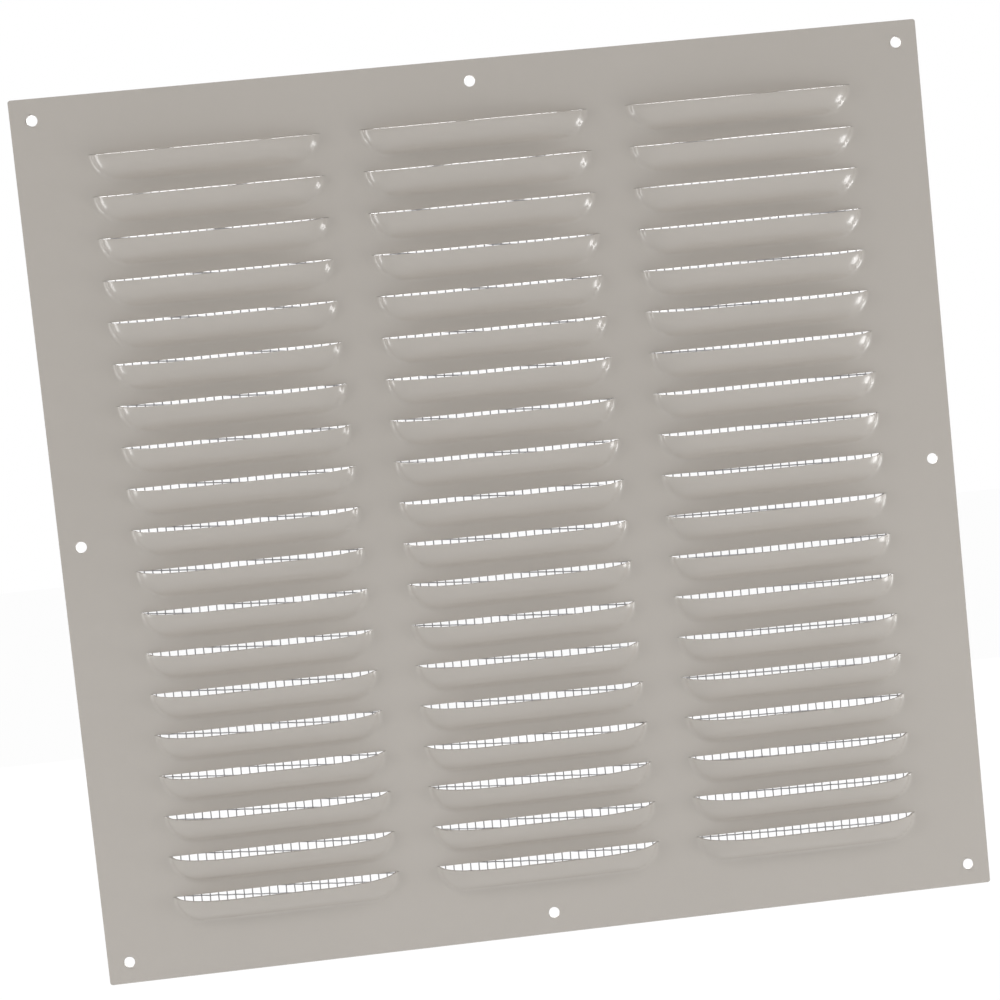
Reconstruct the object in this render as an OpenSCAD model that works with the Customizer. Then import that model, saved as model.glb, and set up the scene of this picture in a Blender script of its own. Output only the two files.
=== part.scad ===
// Louvred ventilation grille, pressed from one sheet of painted steel, with a wire mesh behind it.
// It stands as it is screwed to a wall: +Z up, front towards -Y, back of the sheet at Y = 0.

/* [Face sheet] */
// Width of the face sheet
plate_w = 400; // [250:5:620]
// Height of the face sheet
plate_h = 391; // [150:1:620]
// Thickness of the painted steel
sheet_t = 1; // [0.6:0.1:1.6]
// Radius of the sheet's four corners
corner_r = 1.2; // [0.5:0.1:6]

/* [Louvres] */
// Length of one louvre between its two rounded ends
louvre_len = 101.8; // [60:0.1:150]
// Depth of one louvre, from its cut edge to where the sheet is flat again
louvre_reach = 13.6; // [11:0.1:16]
// How far a louvre stands out of the sheet, at its lip
louvre_rise = 7.4; // [4:0.1:9]
// Angle by which a louvre's mouth leans back from the cut edge
mouth_lean = 16; // [0:0.5:22]
// Radius of the bend where a louvre leaves the flat sheet
base_r = 2.7; // [1.5:0.1:4]
// Distance from one cut edge to the next one below it
row_pitch = 18.25; // [16.5:0.05:24]
// Flat bar between two columns of louvres
bar_w = 16; // [6:0.5:40]
// Flat border above the first cut edge
top_border = 26.3; // [20:0.1:60]
// Least flat border below the last louvre
foot_border = 20; // [18:0.5:60]
// Least flat border at each side of the louvres
side_border = 25; // [18:0.5:60]

/* [Screw holes] */
// Diameter of a screw hole
hole_d = 4.8; // [3:0.1:6]
// Distance from a screw hole's centre to the edge of the sheet
hole_inset = 9.5; // [7:0.1:11]

/* [Wire mesh] */
// Thickness of one wire
wire_d = 0.5; // [0.3:0.05:0.9]
// Distance from one upright wire to the next
upright_pitch = 3.77; // [3:0.01:8]
// Distance from one level wire to the next
level_pitch = 3.85; // [3:0.01:8]
// Flat border of the sheet that the mesh leaves free
mesh_border = 15; // [14:0.5:17]
// Angle by which the upright wires lean to the right at the top
upright_lean = 0.9; // [0:0.1:5]
// Angle by which the level wires slope down to the right
level_slope = 4.4; // [0:0.1:8]
// Clearance where one wire lies on the next, and where the mesh lies on the sheet
mesh_gap = 0.02; // [0.01:0.01:0.1]

/* [Hidden] */
$fn = 96;
bend_sum = (louvre_reach * louvre_reach + louvre_rise * louvre_rise) / (2 * louvre_rise);
crown_r = bend_sum - base_r;
bend_turn = 90 - atan2(bend_sum - louvre_rise, louvre_reach);
base_flats = 4;
crown_mid = [0, sheet_t + louvre_rise - crown_r];
base_mid = [louvre_reach, sheet_t + base_r];
straight_len = louvre_len - 2 * louvre_reach;
column_pitch = louvre_len + bar_w;
columns = max(1, floor((plate_w - 2 * side_border + bar_w) / column_pitch));
rows = max(1, floor((plate_h - top_border - foot_border - louvre_reach) / row_pitch) + 1);
first_cut = plate_h / 2 - top_border;
field_h = (rows - 1) * row_pitch + louvre_reach;
hole_x = plate_w / 2 - hole_inset;
hole_y = plate_h / 2 - hole_inset;
mesh_w = plate_w - 2 * mesh_border;
mesh_h = plate_h - 2 * mesh_border;
wire_y = mesh_gap + wire_d / 2;
cross_y = wire_y + wire_d + mesh_gap;

// Middle of each column, drawn flat: X to the right, Y up the sheet
function column_places() = [for (c = [0 : columns - 1]) (c - (columns - 1) / 2) * column_pitch];

// Middle of each cut edge
function cut_places() = [for (r = [0 : rows - 1], x = column_places()) [x, first_cut - r * row_pitch]];

// Screw holes at the corners and at the middle of each side
function hole_places() =
    [for (x = [-1, 0, 1], y = [-1, 0, 1]) if (x != 0 || y != 0) [x * hole_x, y * hole_y]];

// Area under one face of a louvre: a round crown bend, then a base bend in short flats
module under_face(crown, base, z) {
    turns = [for (i = [0 : base_flats]) 270 - i * bend_turn / base_flats];
    flats = [for (a = turns) base_mid + base * [cos(a), sin(a)]];
    tip = flats[base_flats] + (flats[base_flats] - flats[base_flats - 1]) / 2;
    intersection() {
        translate(crown_mid) circle(crown);
        translate([0, z - 1]) square([louvre_reach, louvre_rise + 3]);
    }
    foot = [[0, z - 1], [louvre_reach, z - 1]];
    polygon(concat(foot, [for (i = [0 : base_flats - 1]) flats[i]], [tip, [0, tip.y]]));
}

// Section of a louvre from its highest line at X = 0 out to the flat sheet
module louvre_section() {
    difference() {
        under_face(crown_r, base_r, sheet_t);
        under_face(crown_r - sheet_t, base_r + sheet_t, 0);
    }
}

// What the leaning mouth leaves out of a louvre's section
module mouth_section() {
    top = 2 * louvre_rise;
    translate([0, sheet_t]) polygon([[0, 0], [top * tan(mouth_lean), top], [-1, top], [-1, 0]]);
}

// Straight middles of one column of louvres, each with the flat web down to the next cut edge
module louvre_middles() {
    rotate([90, 0, -90]) linear_extrude(straight_len, center = true)
        for (r = [0 : rows - 1]) translate([r * row_pitch, 0]) {
            difference() {
                louvre_section();
                mouth_section();
            }
            if (r < rows - 1) translate([louvre_reach, 0]) square([row_pitch - louvre_reach, sheet_t]);
        }
}

// Rounded end of one louvre: its section turned a quarter round; side is -1 at the left and 1 at the right
module louvre_end(side) {
    difference() {
        rotate([0, 0, side < 0 ? 180 : 270]) rotate_extrude(angle = 90) louvre_section();
        rotate([90, 0, -90]) linear_extrude(2 * louvre_reach + 2, center = true) mouth_section();
    }
}

// Outline that one column of middles takes out of the flat sheet
module middles_outline() {
    translate([-straight_len / 2, -field_h]) square([straight_len, field_h]);
}

// Outline that one louvre end takes out of the flat sheet
module end_outline(side) {
    intersection() {
        circle(louvre_reach);
        translate([side > 0 ? 0 : -louvre_reach, -louvre_reach]) square(louvre_reach);
    }
}

// Flat outline of the sheet with its four rounded corners
module sheet_outline() {
    square([plate_w - 2 * corner_r, plate_h], center = true);
    square([plate_w, plate_h - 2 * corner_r], center = true);
    for (x = [-1, 1], y = [-1, 1])
        translate([x * (plate_w / 2 - corner_r), y * (plate_h / 2 - corner_r)]) circle(corner_r);
}

// Flat part of the sheet, with the louvres and screw holes left out
module flat_part() {
    linear_extrude(sheet_t) difference() {
        sheet_outline();
        for (x = column_places()) translate([x, first_cut]) middles_outline();
        for (p = cut_places(), side = [-1, 1])
            translate(p + [side * straight_len / 2, 0]) end_outline(side);
        for (p = hole_places()) translate(p) circle(d = hole_d);
    }
}

// Pressed sheet with its louvres and screw holes
module face_sheet() {
    color([0.69, 0.67, 0.64]) rotate([90, 0, 0]) {
        flat_part();
        for (x = column_places()) translate([x, first_cut]) louvre_middles();
        for (p = cut_places(), side = [-1, 1])
            translate(p + [side * straight_len / 2, 0]) louvre_end(side);
    }
}

// Distances at which a line passes the two sides of a strip of the given width
function strip_ends(foot, dir, width) =
    abs(dir) < 1e-6 ? [-1e4, 1e4] : [(-width / 2 - foot) / dir, (width / 2 - foot) / dir];

// Ends of a line inside a rectangle, as distances along it from its foot
function ends_in(foot, dir, size) =
    let(xs = strip_ends(foot.x, dir.x, size.x), ys = strip_ends(foot.y, dir.y, size.y))
    [max(min(xs), min(ys)), min(max(xs), max(ys))];

// One layer of straight wires that run at an angle to the level and end at the mesh's outline
module wires(angle, pitch, y) {
    dir = [cos(angle), sin(angle)];
    across = [-dir.y, dir.x];
    count = floor((mesh_w + mesh_h) / 2 / pitch);
    for (i = [-count : count]) {
        foot = across * (i + 0.5) * pitch;
        ends = ends_in(foot, dir, [mesh_w, mesh_h]);
        start = foot + dir * ends[0];
        if (ends[1] - ends[0] > pitch)
            translate([start.x, y, start.y]) rotate([0, 90 - angle, 0])
                cylinder(h = ends[1] - ends[0], d = wire_d);
    }
}

// Wire mesh that lies on the back of the sheet: upright wires first, level wires behind them
module wire_mesh() {
    color([0.55, 0.55, 0.56]) {
        wires(90 - upright_lean, upright_pitch, wire_y);
        wires(-level_slope, level_pitch, cross_y);
    }
}

face_sheet();
wire_mesh();
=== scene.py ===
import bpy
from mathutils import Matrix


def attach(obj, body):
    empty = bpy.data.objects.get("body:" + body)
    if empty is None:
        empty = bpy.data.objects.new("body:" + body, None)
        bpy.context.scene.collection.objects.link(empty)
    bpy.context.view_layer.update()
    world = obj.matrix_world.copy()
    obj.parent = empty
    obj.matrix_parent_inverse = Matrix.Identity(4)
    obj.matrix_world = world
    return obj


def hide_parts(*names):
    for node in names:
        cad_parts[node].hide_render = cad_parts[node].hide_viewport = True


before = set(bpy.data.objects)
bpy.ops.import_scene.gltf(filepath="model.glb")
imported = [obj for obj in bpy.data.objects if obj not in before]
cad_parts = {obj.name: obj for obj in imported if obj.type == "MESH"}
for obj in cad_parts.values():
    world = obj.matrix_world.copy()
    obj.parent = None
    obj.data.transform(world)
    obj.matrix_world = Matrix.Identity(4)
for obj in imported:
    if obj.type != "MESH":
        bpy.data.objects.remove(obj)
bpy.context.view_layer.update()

import bpy
import numpy as np
from mathutils import Matrix, Vector

MM = 0.001

# ---------------------------------------------------------------- sizes, in millimetres, as in the CAD part
PLATE_W, PLATE_H, SHEET_T, CORNER_R = 400.0, 391.0, 1.0, 1.2
LOUVRE_LEN, REACH, RISE, BASE_R = 101.8, 13.6, 7.38, 2.7
ROW_PITCH, BAR_W, TOP_BORDER, ROWS, COLUMNS = 18.25, 16.0, 26.3, 19, 3
HOLE_D, HOLE_INSET = 4.8, 9.5
EDGE = 0.16  # rounding of the painted edges
SLIT_HALF = 49.1  # half the length of the visible slot
ARCH = 29.0  # length over which a lip rises to its full height
LIP_BACK = 0.262  # how far the lip stands back, as a share of its height
MESH_BORDER, WIRE_D = 15.0, 0.5
UPRIGHT_PITCH, LEVEL_PITCH = 3.77, 3.85

bend_sum = (REACH**2 + RISE**2) / (2 * RISE)
CROWN_R = bend_sum - BASE_R
JOIN = CROWN_R * REACH / (CROWN_R + BASE_R)


def section(r):
    """Height of a louvre's front face at distance r from its highest line."""
    r = np.clip(r, 0, REACH)
    crown = RISE - CROWN_R + np.sqrt(np.maximum(CROWN_R**2 - r**2, 0))
    base = BASE_R - np.sqrt(np.maximum(BASE_R**2 - (REACH - r) ** 2, 0))
    return np.where(r < JOIN, crown, base)


# share of the turned end's height that the real, flatter lip keeps, by distance from the slot's end
_d = np.linspace(0, 60, 601)
_e = np.sqrt(np.clip(1 - ((ARCH - np.minimum(_d, ARCH)) / ARCH) ** 2, 0, 1))
_f = section(np.maximum(REACH - (_d + LOUVRE_LEN / 2 - SLIT_HALF), 0)) / RISE
_k = np.minimum(_e / np.maximum(_f, 0.02), 1)
_k[_d < 0.8] = 1.0
_k = np.convolve(np.pad(_k, 12, mode="edge"), np.hanning(25) / np.hanning(25).sum(), "valid")


def height(u, s):
    """Height of the front face at u along a louvre from its middle and s below the cut."""
    x = np.maximum(np.abs(u) - (LOUVRE_LEN / 2 - REACH), 0)
    r = np.sqrt(x**2 + s**2)
    return np.where(r < REACH, section(r) * np.interp(SLIT_HALF - np.abs(u), _d, _k), 0.0)


def front_normal(u, s):
    h = 0.02
    gu = (height(u + h, s) - height(u - h, s)) / (2 * h)
    gs = (height(u, s + h) - height(u, np.maximum(s - h, 0))) / np.where(s > h, 2 * h, h)
    n = np.stack([-gu, -gs, np.ones_like(gu)], -1)
    return n / np.linalg.norm(n, axis=-1, keepdims=True)


# ---------------------------------------------------------------- pressed sheet
class Shell:
    """Vertices with normals in sheet coordinates: u right, v down, z out of the front face, in millimetres."""

    def __init__(self):
        self.p, self.n, self.f = [], [], []

    def add(self, p, n):
        self.p.append(p)
        self.n.append(n)
        return len(self.p) - 1

    def face(self, *ids):
        out = []
        for i in ids:
            if i not in out:
                out.append(i)
        if len(out) > 2:
            self.f.append(tuple(out))

    def strip(self, a, b, closed=False):
        k = len(a)
        for i in range(k if closed else k - 1):
            j = (i + 1) % k
            self.face(a[i], a[j], b[j], b[i])


half = LOUVRE_LEN / 2
end_steps = [0, 0.5, 1.1, 1.8, 2.6, 3.5, 4.5, 5.6, 6.8, 8.1, 9.5, 11, 12.5, 14, 16.5, 19.5, 23, 27, 31, 38, 45]
col_lines = sorted([-(half - d) for d in end_steps] + [0.0] + [half - d for d in end_steps])
col_mid = [(c - 1) * (LOUVRE_LEN + BAR_W) for c in range(COLUMNS)]
hx, hy = PLATE_W / 2 - HOLE_INSET, PLATE_H / 2 - HOLE_INSET
U = [-PLATE_W / 2, -PLATE_W / 2 + CORNER_R, -hx - 4, -hx + 4]
col_of, col_range = [], []
for c, m in enumerate(col_mid):
    col_range.append((len(U), len(U) + len(col_lines) - 1))
    U += [m + x for x in col_lines]
    if c < COLUMNS - 1:
        U.append(m + half + BAR_W / 2)
U += [hx - 4, hx + 4, PLATE_W / 2 - CORNER_R, PLATE_W / 2]
U = np.array(U)
NU = len(U)
inside = np.full(NU, -1)
for c, (a, b) in enumerate(col_range):
    inside[a : b + 1] = c
urel = np.where(inside >= 0, U - np.array(col_mid)[np.maximum(inside, 0)], 1e3)

sec_full = np.array([1.94, 3.5, 5.2, 6.9, 8.5, 9.9, 11.0, 11.8, 12.5, 13.1, 13.6])
tau = (sec_full - sec_full[0]) / (sec_full[-1] - sec_full[0])

shell = Shell()
back_of = {}


def both(p, n):
    """A front vertex and its twin on the back face."""
    i = shell.add(p, n)
    j = shell.add(p - n * SHEET_T, -n)
    back_of[i] = j
    return i


UP = np.array([0.0, 0.0, 1.0])
top_v = -PLATE_H / 2


def flat_row(v, edge_pull=0.0):
    ids = []
    for k, u in enumerate(U):
        x = u
        if k == 0:
            x += EDGE
        if k == NU - 1:
            x -= EDGE
        ids.append(both(np.array([x, v + edge_pull, 0.0]), UP.copy()))
    return ids


rows, row_v = [], []  # vertex rows from the top down; a cut has two rows at the same v
cut_rows = []
for v in (0.0, CORNER_R, 5.5, 13.5, 20.0, 24.5):
    rows.append(flat_row(top_v + v, EDGE if v == 0 else 0.0))
    row_v.append(top_v + v)
lip_edge, web_edge = {}, {}
for r in range(ROWS):
    cut = top_v + TOP_BORDER + r * ROW_PITCH
    for k in ([] if r == 0 else [15.2, 17.2]):
        rows.append(flat_row(cut - ROW_PITCH + k))
        row_v.append(cut - ROW_PITCH + k)
    upper = flat_row(cut)
    lower = list(upper)
    for c, (a, b) in enumerate(col_range):
        web, lip = [], []
        for k in range(a, b + 1):
            d = min(k - a, b - k)
            pull = EDGE * min(1.0, abs(half - abs(urel[k])) / 1.0)
            edge = np.array([U[k], cut, 0.0])
            if d > 0:
                shell.p[upper[k]] = edge - np.array([0, pull, 0])
                shell.p[back_of[upper[k]]] = edge - np.array([0, pull, SHEET_T])
                s = np.array([0.0])
                for _ in range(12):
                    s = LIP_BACK * height(np.array([urel[k]]), s)
                s = s[0]
                n = front_normal(np.array([urel[k]]), np.array([s]))[0]
                along = np.array([0.0, 1.0, (height(np.array([urel[k]]), np.array([s + 0.05])) - height(np.array([urel[k]]), np.array([s])))[0] / 0.05])
                along /= np.linalg.norm(along)
                p = np.array([U[k], cut + s, height(np.array([urel[k]]), np.array([s]))[0]])
                lower[k] = both(p + along * pull, n)
                lip.append((lower[k], p, n, -along, pull, s))
            else:
                lip.append((upper[k], edge, UP.copy(), np.array([0.0, -1.0, 0.0]), 0.0, 0.0))
            web.append((upper[k], edge, UP.copy(), np.array([0.0, 1.0, 0.0]), pull if d > 0 else 0.0, 0.0))
        lip_edge[r, c], web_edge[r, c] = lip, web
    rows.append(upper)
    row_v.append(cut)
    cut_rows.append((len(rows) - 1, lower))
    for t in tau[1:]:
        ids = []
        flat = cut + REACH * t
        for k, u in enumerate(U):
            if inside[k] < 0 or abs(urel[k]) >= half - 1e-6:
                x = u + (EDGE if k == 0 else 0) - (EDGE if k == NU - 1 else 0)
                ids.append(both(np.array([x, flat, 0.0]), UP.copy()))
                continue
            e = lip_edge[r, inside[k]][k - col_range[inside[k]][0]]
            s0 = e[5] + e[4]
            s = s0 + (REACH - s0) * t
            h = height(np.array([urel[k]]), np.array([s]))[0]
            n = front_normal(np.array([urel[k]]), np.array([s]))[0] if h > 0 else UP.copy()
            ids.append(both(np.array([u, cut + s, h]), n))
        rows.append(ids)
        row_v.append(flat)
for v in (PLATE_H - 13.5, PLATE_H - 5.5, PLATE_H - CORNER_R, PLATE_H):
    rows.append(flat_row(top_v + v, -EDGE if v == PLATE_H else 0.0))
    row_v.append(top_v + v)
NV = len(rows)
row_v = np.array(row_v)

# cells that a screw hole or a corner takes
holes = [(x, y) for x in (-hx, 0, hx) for y in (-hy, 0, hy) if x or y]
gone, blocks = set(), []
for x, y in holes:
    a = max(k for k in range(NU) if U[k] <= x - 3.2)
    b = min(k for k in range(NU) if U[k] >= x + 3.2)
    c = max(k for k in range(NV) if row_v[k] <= y - 3.2)
    d = min(k for k in range(NV) if row_v[k] >= y + 3.2)
    blocks.append((x, y, a, b, c, d))
    gone |= {(i, j) for i in range(c, d) for j in range(a, b)}
corners = [(0, 0), (0, NU - 2), (NV - 2, NU - 2), (NV - 2, 0)]
gone |= set(corners)

lower_of = {k: low for k, low in cut_rows}
for i in range(NV - 1):
    a = lower_of.get(i, rows[i])
    b = rows[i + 1]
    for j in range(NU - 1):
        if (i, j) not in gone:
            shell.face(a[j], b[j], b[j + 1], a[j + 1])
            shell.face(back_of[a[j]], back_of[a[j + 1]], back_of[b[j + 1]], back_of[b[j]])


def rim(edges, closed=False):
    """Rounded edge and end face along a boundary: (front vertex, corner, normal, outward, pull, ...) each."""
    f = [e[0] for e in edges]
    g = [back_of[e[0]] for e in edges]
    one, two = [], []
    for e in edges:
        if e[4] == 0:
            one.append(e[0])
            two.append(back_of[e[0]])
        else:
            one.append(shell.add(e[1] - e[2] * e[4], e[3].copy()))
            two.append(shell.add(e[1] - e[2] * (SHEET_T - e[4]), e[3].copy()))
            shell.p[back_of[e[0]]] = e[1] - e[2] * SHEET_T - e[3] * e[4]
    for a, b in ((f, one), (one, two), (two, g)):
        shell.strip(a, b, closed)


for r in range(ROWS):
    for c in range(COLUMNS):
        rim(web_edge[r, c])
        rim(lip_edge[r, c][::-1])

for x, y, a, b, c, d in blocks:
    loop = [(c, k) for k in range(a, b)] + [(k, b) for k in range(c, d)]
    loop += [(d, k) for k in range(b, a, -1)] + [(k, a) for k in range(d, c, -1)]
    outer = [rows[i][j] for i, j in loop]
    turns = np.arange(40) * 2 * np.pi / 40
    ring = []
    for t in turns:
        o = np.array([np.cos(t), np.sin(t), 0.0])
        q = np.array([x, y, 0.0])
        ring.append((both(q + o * (HOLE_D / 2 + EDGE), UP.copy()), q + o * HOLE_D / 2, UP.copy(), -o, EDGE))
    whole = 2 * np.pi
    inner = [(t, e[0]) for t, e in zip(turns, ring)]
    order = sorted((np.arctan2(shell.p[i][1] - y, shell.p[i][0] - x) % whole, i) for i in outer)
    i = j = 0
    n_o, n_i = len(order), len(inner)
    while i < n_o or j < n_i:
        ao = order[(i + 1) % n_o][0] + (whole if i + 1 >= n_o else 0)
        ai = inner[(j + 1) % n_i][0] + (whole if j + 1 >= n_i else 0)
        if j >= n_i or (i < n_o and ao <= ai):
            tri = (order[i % n_o][1], order[(i + 1) % n_o][1], inner[j % n_i][1])
            i += 1
        else:
            tri = (order[i % n_o][1], inner[(j + 1) % n_i][1], inner[j % n_i][1])
            j += 1
        shell.face(tri[0], tri[2], tri[1])
        shell.face(*[back_of[t] for t in tri])
    rim(ring, closed=True)

# outer edge of the sheet, round its four corners
outline = []


def edge_item(i, j, o):
    v = rows[i][j]
    p = shell.p[v] + o * EDGE
    return (v, p, UP.copy(), o, EDGE)


fan = {}
for (ci, cj), (sx, sy) in zip(corners, ((-1, -1), (1, -1), (1, 1), (-1, 1))):
    mid = np.array([sx * (PLATE_W / 2 - CORNER_R), sy * (PLATE_H / 2 - CORNER_R), 0.0])
    t0 = {(-1, -1): 180, (1, -1): 270, (1, 1): 0, (-1, 1): 90}[sx, sy]
    items = []
    for t in np.radians(t0 + np.array([0, 15, 30, 45, 60, 75, 90])):
        o = np.array([np.cos(t), np.sin(t), 0.0])
        items.append((o, mid + o * CORNER_R))
    fan[sx, sy] = (mid, items)
turn = [((-1, -1), [(0, k) for k in range(1, NU - 1)], np.array([0.0, -1.0, 0.0])),
        ((1, -1), [(k, NU - 1) for k in range(1, NV - 1)], np.array([1.0, 0.0, 0.0])),
        ((1, 1), [(NV - 1, k) for k in range(NU - 2, 0, -1)], np.array([0.0, 1.0, 0.0])),
        ((-1, 1), [(k, 0) for k in range(NV - 2, 0, -1)], np.array([-1.0, 0.0, 0.0]))]
for (key, cells, o) in turn:
    mid, items = fan[key]
    inner_id = rows[1 if key[1] < 0 else NV - 2][1 if key[0] < 0 else NU - 2]
    arc = []
    for q, p in items[1:-1]:
        arc.append((both(p - q * EDGE, UP.copy()), p, UP.copy(), q, EDGE))
    before = outline[-1] if outline else None
    outline.append(("arc", key, arc, inner_id))
    outline.append(("side", key, [edge_item(i, j, o) for i, j in cells], None))
flat_loop = []
for kind, key, items, inner_id in outline:
    flat_loop += items
count = len(flat_loop)
pos = 0
for kind, key, items, inner_id in outline:
    if kind == "arc":
        ring = [flat_loop[(pos - 1) % count][0]] + [e[0] for e in items] + [flat_loop[(pos + len(items)) % count][0]]
        for a, b in zip(ring[:-1], ring[1:]):
            shell.face(inner_id, b, a)
            shell.face(back_of[inner_id], back_of[a], back_of[b])
    pos += len(items)
rim(flat_loop[::-1], closed=True)

P = np.array(shell.p)
N = np.array(shell.n)
N /= np.linalg.norm(N, axis=1, keepdims=True)
world_p = np.stack([P[:, 0], -(P[:, 2] + SHEET_T), -P[:, 1]], 1) * MM
world_n = np.stack([N[:, 0], -N[:, 2], -N[:, 1]], 1)


def make(name, verts, faces, normals=None):
    me = bpy.data.meshes.new(name)
    me.from_pydata([tuple(v) for v in verts], [], faces)
    me.validate()
    me.polygons.foreach_set("use_smooth", [True] * len(me.polygons))
    if normals is not None:
        me.normals_split_custom_set_from_vertices([tuple(v) for v in normals])
    ob = bpy.data.objects.new(name, me)
    bpy.context.scene.collection.objects.link(ob)
    return ob


# faces turned so that they agree with the normals
A = world_p
fixed = []
for f in shell.f:
    a, b, c = A[f[0]], A[f[1]], A[f[2]]
    g = np.cross(b - a, c - a)
    if len(f) == 4:
        g = g + np.cross(c - a, A[f[3]] - a)
    m = world_n[list(f)].sum(0)
    fixed.append(f if g @ m >= 0 else f[::-1])
sheet = make("pressed_sheet", world_p, fixed, world_n)

# ---------------------------------------------------------------- woven wire mesh
mw, mh = PLATE_W / 2 - MESH_BORDER, PLATE_H / 2 - MESH_BORDER
mid_y = 0.53
amp = 0.25


def drift(u):
    """How far a level wire has sunk at u: steeper over the two left columns than over the right one."""
    k = np.clip((u - 35.0) / 40.0, 0, 1)
    return np.where(u < 35, 0.088 * u, np.where(u < 75, 0.088 * u - 0.055 * 40 * k**2 / 2, 0.088 * 75 - 1.1 + 0.033 * (u - 75)))


lean = -0.0157
ups = np.arange(-60, 61) * UPRIGHT_PITCH + 1.2
lev = np.arange(-60, 61) * LEVEL_PITCH + 0.8


def crossing(a, b):
    u = np.full(np.broadcast(a, b).shape, 0.0) + a
    for _ in range(4):
        v = b + drift(u)
        u = a + lean * v
    return u, v


CU, CV = crossing(ups[:, None], lev[None, :])
wire_v, wire_f = [], []


def tube(path, side):
    """A four-sided wire along a path of (u, v, y); side is the across direction in the sheet's plane."""
    if len(path) < 2:
        return
    start = len(wire_v)
    r = WIRE_D / 2 * 1.1
    for u, v, y in path:
        for a, b in ((1, 0), (0, 1), (-1, 0), (0, -1)):
            wire_v.append((u + side[0] * a * r, v + side[1] * a * r, y + b * r * 0.9))
    k = len(path)
    for i in range(k - 1):
        for j in range(4):
            a = start + 4 * i
            wire_f.append((a + j, a + (j + 1) % 4, a + 4 + (j + 1) % 4, a + 4 + j))
    wire_f.append(tuple(start + j for j in (3, 2, 1, 0)))
    wire_f.append(tuple(start + 4 * (k - 1) + j for j in range(4)))


def clip(points):
    """The part of a path inside the mesh's rectangle, with its ends on the border."""
    out = []
    lim_u, lim_v = mw - WIRE_D / 2 * 1.1, mh - WIRE_D / 2 * 1.1
    ok = [abs(p[0]) <= lim_u and abs(p[1]) <= lim_v for p in points]
    for i, p in enumerate(points):
        if ok[i]:
            if not out and i > 0:
                out.append(meet(points[i - 1], p, lim_u, lim_v))
            out.append(p)
        elif out and ok[i - 1]:
            out.append(meet(p, points[i - 1], lim_u, lim_v))
            break
    return out


def meet(a, b, lu, lv):
    """Where the line from outside point a to inside point b enters the rectangle."""
    t = 1.0
    for k, lim in ((0, lu), (1, lv)):
        if abs(a[k]) > lim:
            edge = lim if a[k] > 0 else -lim
            t = min(t, (b[k] - edge) / (b[k] - a[k]))
    return tuple(b[k] + (a[k] - b[k]) * t for k in range(3))


for i in range(len(ups)):
    tube(clip([(CU[i, j], CV[i, j], mid_y + amp * (1 if (i + j) % 2 else -1)) for j in range(len(lev))]), (1, 0))
for j in range(len(lev)):
    tube(clip([(CU[i, j], CV[i, j], mid_y - amp * (1 if (i + j) % 2 else -1)) for i in range(len(ups))]), (0, 1))
W = np.array(wire_v)
wires = make("woven_mesh", np.stack([W[:, 0], W[:, 2], -W[:, 1]], 1) * MM, wire_f)
import bmesh

bm = bmesh.new()
bm.from_mesh(wires.data)
bmesh.ops.recalc_face_normals(bm, faces=bm.faces)
bm.to_mesh(wires.data)
bm.free()


# ---------------------------------------------------------------- materials
def principled(name):
    m = bpy.data.materials.new(name)
    m.use_nodes = True
    return m, m.node_tree.nodes, m.node_tree.links, m.node_tree.nodes["Principled BSDF"]


def paint_material():
    m, nodes, links, bsdf = principled("warm_grey_paint")
    co = nodes.new("ShaderNodeTexCoord")
    tone = nodes.new("ShaderNodeTexNoise")
    tone.inputs["Scale"].default_value = 9.0
    tone.inputs["Detail"].default_value = 3.0
    ramp = nodes.new("ShaderNodeMix")
    ramp.data_type = "RGBA"
    ramp.inputs["A"].default_value = (0.445, 0.415, 0.380, 1)
    ramp.inputs["B"].default_value = (0.475, 0.442, 0.405, 1)
    links.new(co.outputs["Object"], tone.inputs["Vector"])
    links.new(tone.outputs["Fac"], ramp.inputs["Factor"])
    links.new(ramp.outputs["Result"], bsdf.inputs["Base Color"])
    peel = nodes.new("ShaderNodeTexNoise")
    peel.inputs["Scale"].default_value = 420.0
    peel.inputs["Detail"].default_value = 2.0
    bump = nodes.new("ShaderNodeBump")
    bump.inputs["Strength"].default_value = 0.06
    bump.inputs["Distance"].default_value = 0.0004
    links.new(co.outputs["Object"], peel.inputs["Vector"])
    links.new(peel.outputs["Fac"], bump.inputs["Height"])
    links.new(bump.outputs["Normal"], bsdf.inputs["Normal"])
    bsdf.inputs["Roughness"].default_value = 0.2
    return m


def wire_material():
    m, nodes, links, bsdf = principled("galvanised_wire")
    co = nodes.new("ShaderNodeTexCoord")
    tone = nodes.new("ShaderNodeTexNoise")
    tone.inputs["Scale"].default_value = 160.0
    tone.inputs["Detail"].default_value = 3.0
    mix = nodes.new("ShaderNodeMix")
    mix.data_type = "RGBA"
    mix.inputs["A"].default_value = (0.33, 0.33, 0.35, 1)
    mix.inputs["B"].default_value = (0.50, 0.50, 0.52, 1)
    links.new(co.outputs["Object"], tone.inputs["Vector"])
    links.new(tone.outputs["Fac"], mix.inputs["Factor"])
    links.new(mix.outputs["Result"], bsdf.inputs["Base Color"])
    bsdf.inputs["Metallic"].default_value = 1.0
    bsdf.inputs["Roughness"].default_value = 0.42
    return m


sheet.data.materials.append(paint_material())
wires.data.materials.append(wire_material())
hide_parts("face_sheet")
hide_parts("wire_mesh")
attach(sheet, "root")
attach(wires, "root")

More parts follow.
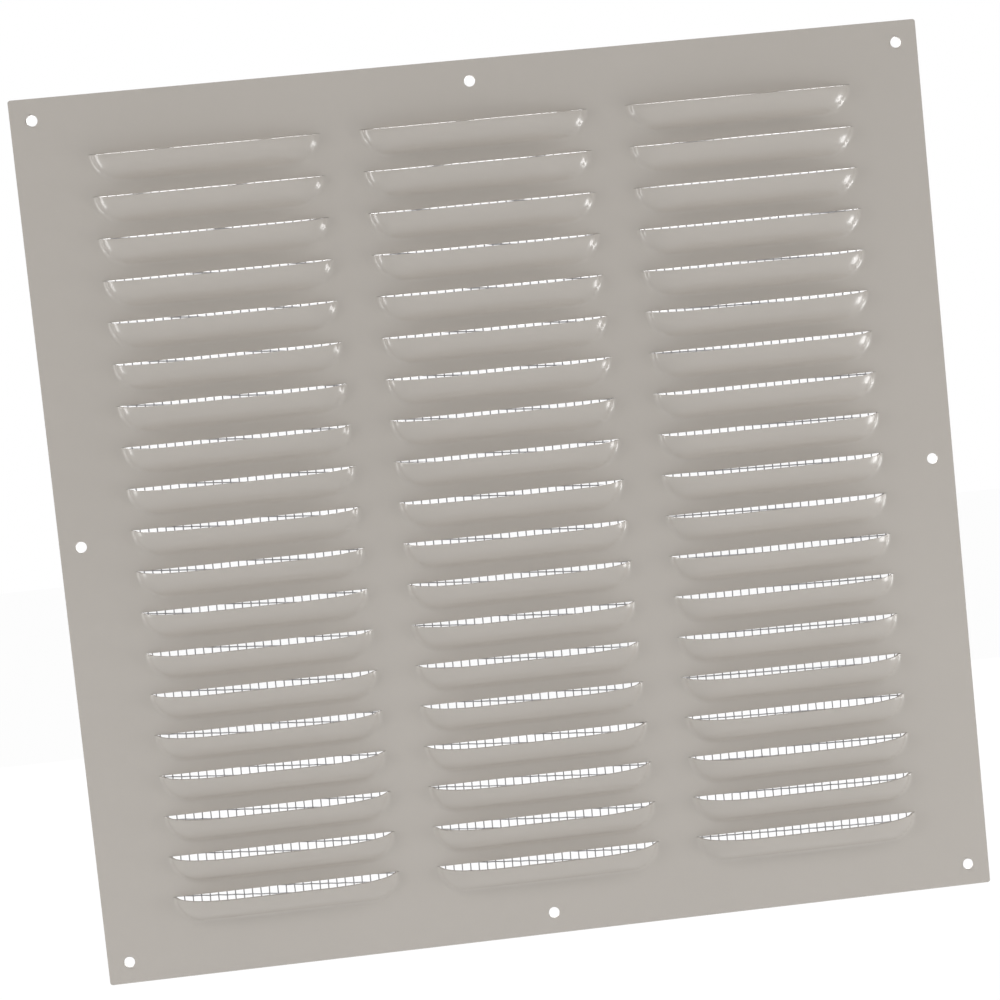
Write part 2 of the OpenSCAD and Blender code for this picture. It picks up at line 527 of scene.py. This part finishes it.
# ---------------------------------------------------------------- floor, world and lamps
floor_me = bpy.data.meshes.new("floor")
fz, fs = -0.46, 6.0
floor_me.from_pydata([(-fs, -fs, fz), (fs, -fs, fz), (fs, fs, fz), (-fs, fs, fz)], [], [(0, 1, 2, 3)])
floor = bpy.data.objects.new("floor", floor_me)
bpy.context.scene.collection.objects.link(floor)
m, nodes, links, bsdf = principled("pale_floor")
bsdf.inputs["Base Color"].default_value = (0.85, 0.85, 0.85, 1)
bsdf.inputs["Roughness"].default_value = 0.7
glow = nodes.new("ShaderNodeEmission")
glow.inputs["Strength"].default_value = 1.0
path = nodes.new("ShaderNodeLightPath")
seen = nodes.new("ShaderNodeMath")
seen.operation = "MAXIMUM"
links.new(path.outputs["Is Camera Ray"], seen.inputs[0])
links.new(path.outputs["Is Glossy Ray"], seen.inputs[1])
share = nodes.new("ShaderNodeMath")
share.operation = "MULTIPLY"
share.inputs[1].default_value = 0.97
links.new(seen.outputs[0], share.inputs[0])
mixer = nodes.new("ShaderNodeMixShader")
links.new(share.outputs[0], mixer.inputs["Fac"])
links.new(bsdf.outputs[0], mixer.inputs[1])
links.new(glow.outputs[0], mixer.inputs[2])
links.new(mixer.outputs[0], nodes["Material Output"].inputs["Surface"])
floor_me.materials.append(m)

world = bpy.data.worlds.new("studio")
bpy.context.scene.world = world
world.use_nodes = True
nodes, links = world.node_tree.nodes, world.node_tree.links
bg = nodes["Background"]
bg.inputs["Color"].default_value = (1, 1, 1, 1)
path = nodes.new("ShaderNodeLightPath")
lift = nodes.new("ShaderNodeMath")
lift.operation = "MULTIPLY_ADD"
AMBIENT = 0.42
lift.inputs[1].default_value = 1.0 - AMBIENT
lift.inputs[2].default_value = AMBIENT
links.new(path.outputs["Is Camera Ray"], lift.inputs[0])
links.new(lift.outputs[0], bg.inputs["Strength"])


def lamp(name, place, target, size, power):
    data = bpy.data.lights.new(name, "AREA")
    data.shape = "RECTANGLE"
    data.size, data.size_y = size
    data.energy = power
    ob = bpy.data.objects.new(name, data)
    bpy.context.scene.collection.objects.link(ob)
    ob.location = place
    ob.rotation_mode = "QUATERNION"
    ob.rotation_quaternion = (Vector(target) - Vector(place)).to_track_quat("-Z", "Y")
    return ob


lamp("key", (0.1, -1.3, 1.7), (0, 0, 0.05), (1.6, 1.0), 17)
lamp("left_box", (-1.5, -0.5, 0.0), (0, 0, 0), (0.25, 0.9), 6)
lamp("right_box", (1.25, -0.35, -0.3), (0, 0, 0), (0.4, 0.35), 5)
lamp("behind", (0.0, 1.6, 0.4), (0, 0, 0), (2.4, 2.0), 70)

# ---------------------------------------------------------------- camera
cam_data = bpy.data.cameras.new("camera")
cam_data.sensor_width = 36.0
cam_data.lens = 48.6
cam = bpy.data.objects.new("camera", cam_data)
bpy.context.scene.collection.objects.link(cam)
right = Vector((0.9937478, -0.0457719, -0.1018341))
up = Vector((0.1036398, 0.0389748, 0.9938510))
fwd = Vector((0.0415215, 0.9981913, -0.0434749))
rot = Matrix((right, up, -fwd)).transposed().to_4x4()
cam.matrix_world = Matrix.Translation((-0.0303386, -0.6000128, 0.0276772)) @ rot
bpy.context.scene.camera = cam

bpy.context.scene.view_settings.view_transform = "Standard"
